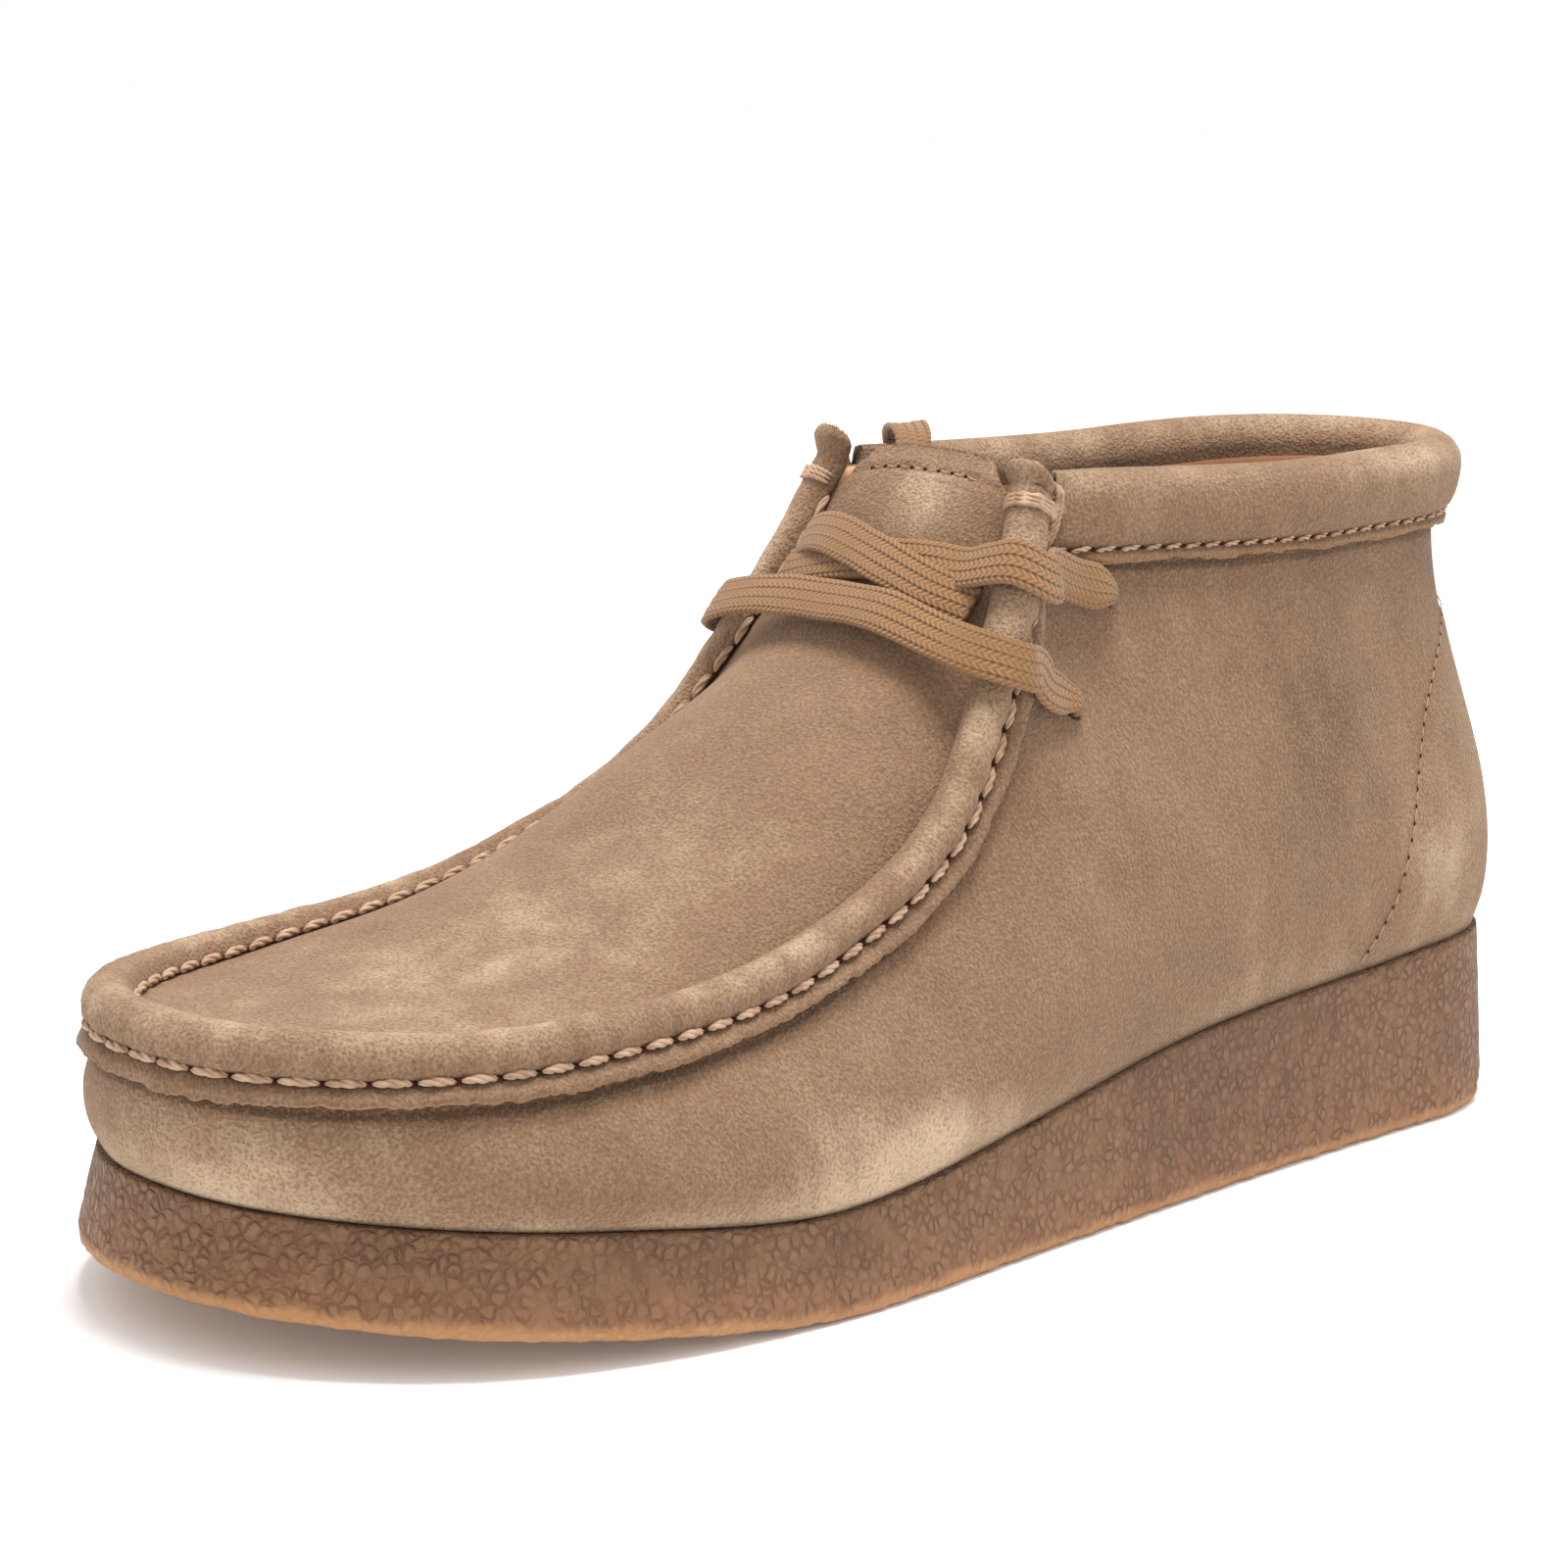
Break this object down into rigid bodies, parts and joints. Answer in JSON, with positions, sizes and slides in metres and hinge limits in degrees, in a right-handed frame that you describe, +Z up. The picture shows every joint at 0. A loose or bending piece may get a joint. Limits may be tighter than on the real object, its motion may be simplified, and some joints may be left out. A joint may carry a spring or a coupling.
{
  "type": "moccasin boot",
  "caption": "Low soft suede moccasin boot for the left foot, with a raised rolled seam round the toe, a padded collar, flat laces over the tongue and a crepe wedge sole",
  "frame": {"origin": "on the floor, under the middle of the boot's footprint, measured without the lace's end", "axes": "+Z up, -Y from the heel towards the toe, +X towards the outer side of this left foot"},
  "size_m": [0.1098, 0.2984, 0.1243],
  "materials": {
    "crepe": "matt pebbled crepe rubber",
    "footbed_leather": "plain matt lining leather",
    "suede": "sand brown suede with a short worn nap",
    "lace": "flat woven cotton, ochre brown"
  },
  "bodies": {
    "root": {"outsole": "crepe", "insole": "footbed_leather", "upper": "suede", "tongue": "suede", "seam_roll": "suede", "collar_roll": "suede", "lace_bar_lower": "lace", "lace_cross_upper": "lace", "lace_end": "lace"}
  },
  "joints": []
}
